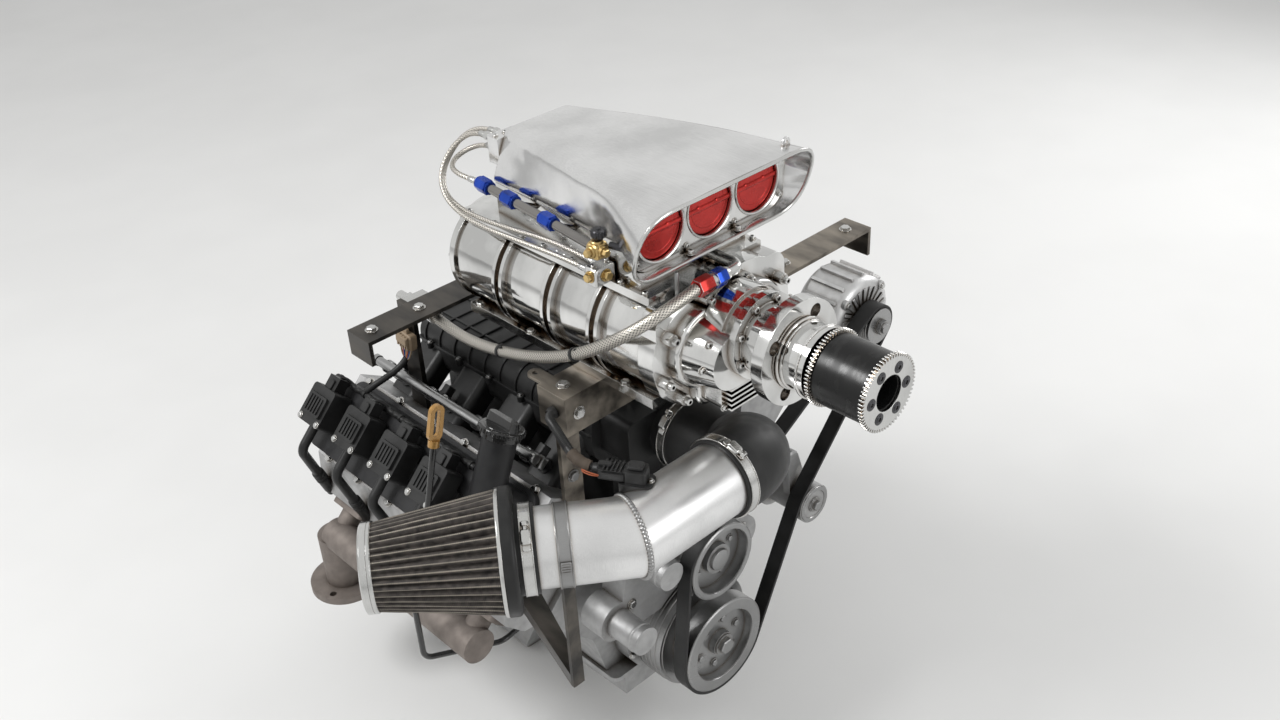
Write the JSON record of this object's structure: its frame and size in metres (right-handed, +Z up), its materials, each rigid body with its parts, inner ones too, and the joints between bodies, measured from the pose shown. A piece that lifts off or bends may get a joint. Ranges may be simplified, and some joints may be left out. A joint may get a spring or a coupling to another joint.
{
  "type": "supercharged v8 engine",
  "caption": "Front-drive engine with a polished blower, air scoop with red butterflies, cone air filter on a mitred pipe, belt drive, and bolt faces for gearbox, mounts and exhaust.",
  "frame": {"origin": "crank centreline on the bellhousing face of the block, at the centre of the bellhousing bolts", "axes": "+Y towards the gearbox, -Y the front of the engine with the blower pulley, +X the engine's left side, +Z up"},
  "size_m": [0.9968, 0.912, 0.984],
  "materials": {
    "cast_aluminium": "sand-cast, satin",
    "black_cover": "satin black paint on cast ribs",
    "polished_aluminium": "hand-polished, mirror-like",
    "brushed_aluminium": "brushed sheet, soft reflections",
    "dark_steel": "bare hot-rolled steel, oiled",
    "bright_steel": "bright stainless",
    "machined_steel": "turned steel",
    "black_drum": "black hard-coated drum, bright teeth",
    "cast_iron": "heat-stained cast iron",
    "black_plastic": "moulded, fine grain",
    "black_rubber": "smooth, slightly dusty",
    "filter_gauze": "pleated oiled gauze with wire mesh",
    "red_metal": "red anodised discs",
    "blue_metal": "blue anodised",
    "dark_rail": "dark anodised tube",
    "brass": "machined brass",
    "braided_steel": "stainless wire braid",
    "yellow_plastic": "moulded pull ring",
    "white_paint": "painted can"
  },
  "bodies": {
    "engine": {"engine_block": "cast_aluminium", "timing_cover": "cast_aluminium", "cylinder_head_left": "cast_aluminium", "cylinder_head_right": "cast_aluminium", "water_pump": "cast_aluminium", "accessory_bracket": "cast_aluminium", "alternator": "cast_aluminium", "oil_pan": "cast_aluminium", "valve_cover_left": "black_cover", "valve_cover_right": "black_cover", "blower_case": "polished_aluminium", "blower_rear_plate": "polished_aluminium", "blower_front_plate": "polished_aluminium", "gear_cover": "polished_aluminium", "drive_snout": "polished_aluminium", "hat_base": "polished_aluminium", "butterfly_bulkhead": "polished_aluminium", "scoop": "brushed_aluminium", "intake_pipe": "brushed_aluminium", "fuel_block": "brushed_aluminium", "cradle_front": "dark_steel", "cradle_rear": "dark_steel", "pipe_bracket": "dark_steel", "dipstick_tube": "dark_steel", "hose_clamps": "bright_steel", "feed_fittings": "bright_steel", "filter_cap": "bright_steel", "exhaust_manifold_left": "cast_iron", "exhaust_manifold_right": "cast_iron", "intake_manifold": "black_plastic", "throttle_body": "black_plastic", "ignition_coils_left": "black_plastic", "ignition_coils_right": "black_plastic", "oil_cap": "black_plastic", "pipe_sensor": "black_plastic", "intake_elbow": "black_rubber", "drive_belt": "black_rubber", "filter_base": "black_rubber", "filter_cone": "filter_gauze", "fuel_nuts": "blue_metal", "fuel_rail": "dark_rail", "fuel_tee": "brass", "fuel_line_1": "braided_steel", "fuel_line_2": "braided_steel", "fuel_line_3": "braided_steel", "feed_hose": "braided_steel", "dipstick_ring": "yellow_plastic", "oil_filter": "white_paint"},
    "crank": {"crankshaft": "machined_steel", "crank_pulley": "machined_steel"},
    "pump_wheel": {"water_pump_pulley": "machined_steel"},
    "alternator_wheel": {"alternator_pulley": "machined_steel"},
    "blower_drive": {"blower_pulley": "black_drum"},
    "throttle": {"butterflies": "red_metal"}
  },
  "joints": [
    {"name": "crank_spin", "type": "hinge", "parent": "engine", "child": "crank", "pos_m": [0, -0.62, 0], "axis": [0, -1, 0], "continuous": true},
    {"name": "pump_spin", "type": "hinge", "parent": "engine", "child": "pump_wheel", "pos_m": [0, -0.62, 0.165], "axis": [0, -1, 0], "continuous": true},
    {"name": "alternator_spin", "type": "hinge", "parent": "engine", "child": "alternator_wheel", "pos_m": [0.346, -0.62, 0.405], "axis": [0, -1, 0], "continuous": true},
    {"name": "blower_spin", "type": "hinge", "parent": "engine", "child": "blower_drive", "pos_m": [0, -0.86, 0.58], "axis": [0, -1, 0], "continuous": true},
    {"name": "butterfly_turn", "type": "hinge", "parent": "engine", "child": "throttle", "pos_m": [0, -0.626, 0.729], "axis": [-1, 0, 0], "range_deg": [0, 80]}
  ],
  "couplings": [
    {"joint": "pump_spin", "follows": "crank_spin", "ratio": 1.278},
    {"joint": "alternator_spin", "follows": "crank_spin", "ratio": 2.694}
  ]
}
